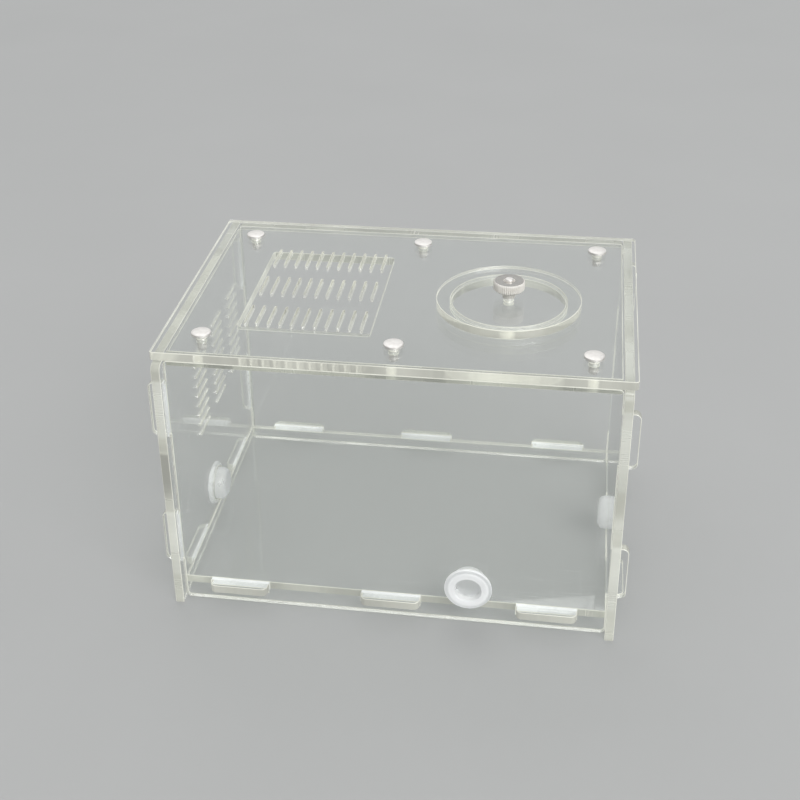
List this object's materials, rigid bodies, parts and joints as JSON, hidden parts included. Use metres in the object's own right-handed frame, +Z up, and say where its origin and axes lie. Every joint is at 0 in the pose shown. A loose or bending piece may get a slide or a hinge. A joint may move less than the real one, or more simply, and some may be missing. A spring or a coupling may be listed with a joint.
{
  "type": "ant foraging area",
  "caption": "Clear tab-and-slot foraging box for ants with a vented lift-off lid, a round feeding port with a thumb-nut cover, and soft stoppers in its tube holes.",
  "frame": {"origin": "on the ground under the middle of the box", "axes": "+X to the right along the long side, +Y to the back, away from the wall with the tube stopper, +Z up"},
  "size_m": [0.1556, 0.111, 0.1075],
  "materials": {
    "clear_sheet": "clear, with bright cut edges",
    "silicone": "soft, milky",
    "pin_metal": "plain bright steel",
    "nut_metal": "bright nickel plate"
  },
  "bodies": {
    "box": {"left_side": "clear_sheet", "right_side": "clear_sheet", "front_wall": "clear_sheet", "back_wall": "clear_sheet", "floor": "clear_sheet"},
    "lid": {"lid_top_plate": "clear_sheet", "lid_inner_plate": "clear_sheet", "lid_pin_1": "pin_metal", "lid_pin_2": "pin_metal", "lid_pin_3": "pin_metal", "lid_pin_4": "pin_metal", "lid_pin_5": "pin_metal", "lid_pin_6": "pin_metal"},
    "port_cover": {"cover_disc": "clear_sheet", "cover_plug_disc": "clear_sheet", "cover_screw": "pin_metal"},
    "thumb_nut": {"cover_thumb_nut": "nut_metal"},
    "left_stopper": {"stopper_left": "silicone"},
    "right_stopper": {"stopper_right": "silicone"},
    "front_stopper": {"stopper_front": "silicone"}
  },
  "joints": [
    {"name": "lid_lift", "type": "slide", "parent": "box", "child": "lid", "axis": [0, 0, 1], "range_m": [0, 0.06]},
    {"name": "port_cover_lift", "type": "slide", "parent": "lid", "child": "port_cover", "axis": [0, 0, 1], "range_m": [0, 0.03]},
    {"name": "thumb_nut_turn", "type": "hinge", "parent": "port_cover", "child": "thumb_nut", "pos_m": [0.034, -0.0063, 0.1036], "axis": [0, 0, 1], "continuous": true},
    {"name": "left_stopper_pull", "type": "slide", "parent": "box", "child": "left_stopper", "axis": [-1, 0, 0], "range_m": [0, 0.02]},
    {"name": "right_stopper_pull", "type": "slide", "parent": "box", "child": "right_stopper", "axis": [1, 0, 0], "range_m": [0, 0.02]},
    {"name": "front_stopper_pull", "type": "slide", "parent": "box", "child": "front_stopper", "axis": [0, -1, 0], "range_m": [0, 0.02]}
  ]
}
